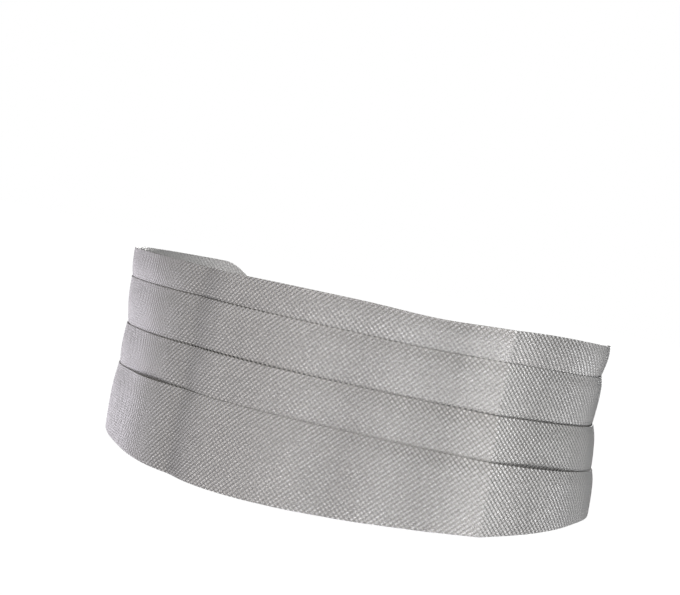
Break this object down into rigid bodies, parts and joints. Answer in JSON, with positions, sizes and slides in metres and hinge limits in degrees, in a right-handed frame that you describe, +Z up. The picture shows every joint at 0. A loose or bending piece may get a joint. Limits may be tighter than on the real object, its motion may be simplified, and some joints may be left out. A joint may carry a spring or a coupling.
{
  "type": "cummerbund",
  "caption": "Pleated satin waist sash worn closed round the waist, its folds opening upward, with plain straps and a flat slide at the back.",
  "frame": {"origin": "on the waist's axis, halfway up the band at the front", "axes": "+Z up along the wearer's waist, +X to the wearer's left, the wearer faces -Y"},
  "size_m": [0.2925, 0.2079, 0.1129],
  "materials": {
    "pleat_satin": "silver-grey basket weave with a soft satin sheen",
    "strap_cloth": "plain matt grey ribbed cloth",
    "clasp_metal": "plain satin nickel"
  },
  "bodies": {
    "root": {"top_pleat": "pleat_satin", "upper_pleat": "pleat_satin", "lower_pleat": "pleat_satin", "bottom_pleat": "pleat_satin", "left_back_strap": "strap_cloth", "right_back_strap": "strap_cloth", "back_clasp": "clasp_metal"}
  },
  "joints": []
}
